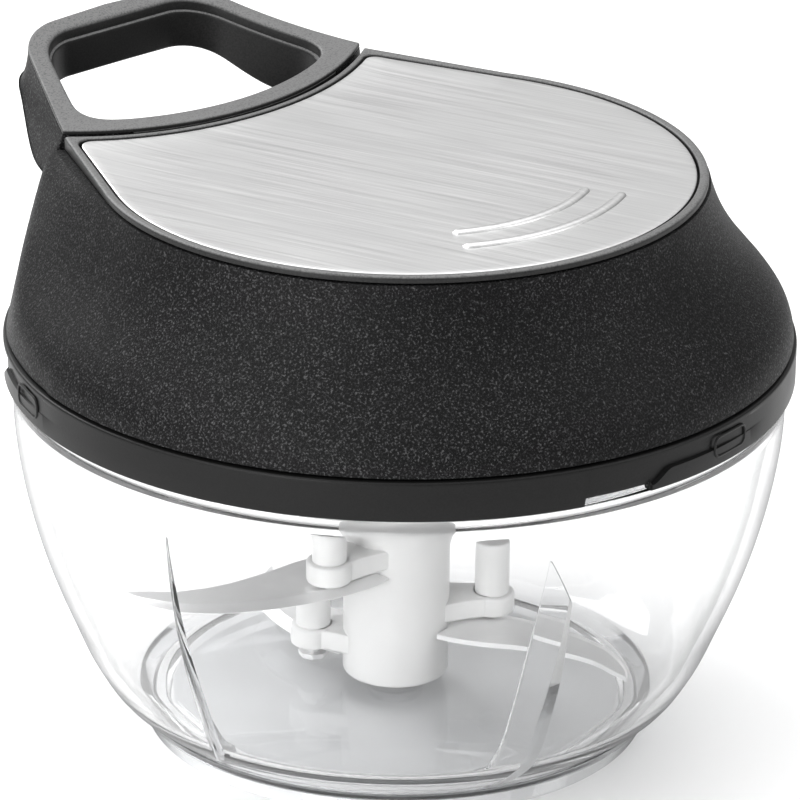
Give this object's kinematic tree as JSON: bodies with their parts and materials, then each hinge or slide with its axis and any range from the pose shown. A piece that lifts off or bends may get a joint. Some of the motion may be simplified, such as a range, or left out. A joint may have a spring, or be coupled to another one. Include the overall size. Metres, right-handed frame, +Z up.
{
  "type": "pull-string garlic mincer",
  "caption": "Round pull-string food mincer: clear bowl with a chopper on a centre pin under a dark lid with a steel top and a loop handle that pulls a cord.",
  "frame": {"origin": "centre of the rest face under the bowl", "axes": "+Z up along the chopper's axis, +Y towards the pull handle, +X to the right of the handle seen from above with the handle away"},
  "size_m": [0.1258, 0.1371, 0.1028],
  "materials": {
    "clear_plastic": "polished clear moulded plastic",
    "speckled_plastic": "matte near-black plastic with a fine light speckle",
    "smooth_plastic": "smooth satin dark grey plastic",
    "brushed_plate": "brushed in straight lines",
    "bright_steel": "bright stainless steel",
    "white_plastic": "white moulded plastic",
    "grey_silicone": "matte translucent grey silicone",
    "white_silicone": "matte white silicone",
    "inner_plastic": "plain black plastic",
    "bush_brass": "turned",
    "cord": "braided white cord"
  },
  "bodies": {
    "bowl": {"bowl": "clear_plastic", "bowl_pin": "bright_steel", "grip_pad": "grey_silicone"},
    "seal": {"seal_ring": "white_silicone"},
    "lid": {"lid_shell": "speckled_plastic", "lid_band": "smooth_plastic", "lid_base": "inner_plastic", "base_screw_1": "bright_steel", "base_screw_2": "bright_steel", "base_screw_3": "bright_steel", "top_bezel": "smooth_plastic", "top_plate": "brushed_plate", "axle": "bright_steel", "drive_bush": "bush_brass", "cord_eyelet": "bright_steel", "mainspring": "bright_steel", "pull_cord": "cord"},
    "handle": {"handle_body": "speckled_plastic", "handle_frame": "smooth_plastic", "handle_screw_1": "bright_steel", "handle_screw_2": "bright_steel", "cord_ferrule": "bright_steel"},
    "drum": {"cord_drum": "inner_plastic"},
    "driver": {"drive_coupling": "white_plastic", "clutch_pawl_1": "bright_steel", "clutch_pawl_2": "bright_steel"},
    "blades": {"blade_hub": "white_plastic", "blade_upper": "bright_steel", "blade_middle": "bright_steel", "blade_lower": "bright_steel", "blade_rivet_upper": "bright_steel", "blade_rivet_middle": "bright_steel", "blade_rivet_lower": "bright_steel"}
  },
  "joints": [
    {"name": "lid_turn", "type": "hinge", "parent": "bowl", "child": "seal", "pos_m": [0, 0, 0.065], "axis": [0, 0, 1], "range_deg": [-18, 0]},
    {"name": "lid_lift", "type": "slide", "parent": "seal", "child": "lid", "axis": [0, 0, 1], "range_m": [0, 0.08]},
    {"name": "handle_pull", "type": "slide", "parent": "lid", "child": "handle", "axis": [0, 1, 0], "range_m": [0, 0.36], "stiffness_N_per_m": 8, "springref_m": -0.2, "deforming": ["pull_cord"]},
    {"name": "drum_spin", "type": "hinge", "parent": "lid", "child": "drum", "pos_m": [0, 0, 0.083], "axis": [0, 0, 1], "range_deg": [0, 1190]},
    {"name": "coupling_spin", "type": "hinge", "parent": "lid", "child": "driver", "pos_m": [0, 0, 0.07], "axis": [0, 0, 1], "range_deg": [0, 1190]},
    {"name": "blade_spin", "type": "hinge", "parent": "bowl", "child": "blades", "pos_m": [0, 0, 0.03], "axis": [0, 0, 1], "range_deg": [0, 1190]}
  ],
  "couplings": [
    {"joint": "drum_spin", "follows": "handle_pull", "rad_per_m": 57.14},
    {"joint": "coupling_spin", "follows": "handle_pull", "rad_per_m": 57.14},
    {"joint": "blade_spin", "follows": "handle_pull", "rad_per_m": 57.14}
  ]
}
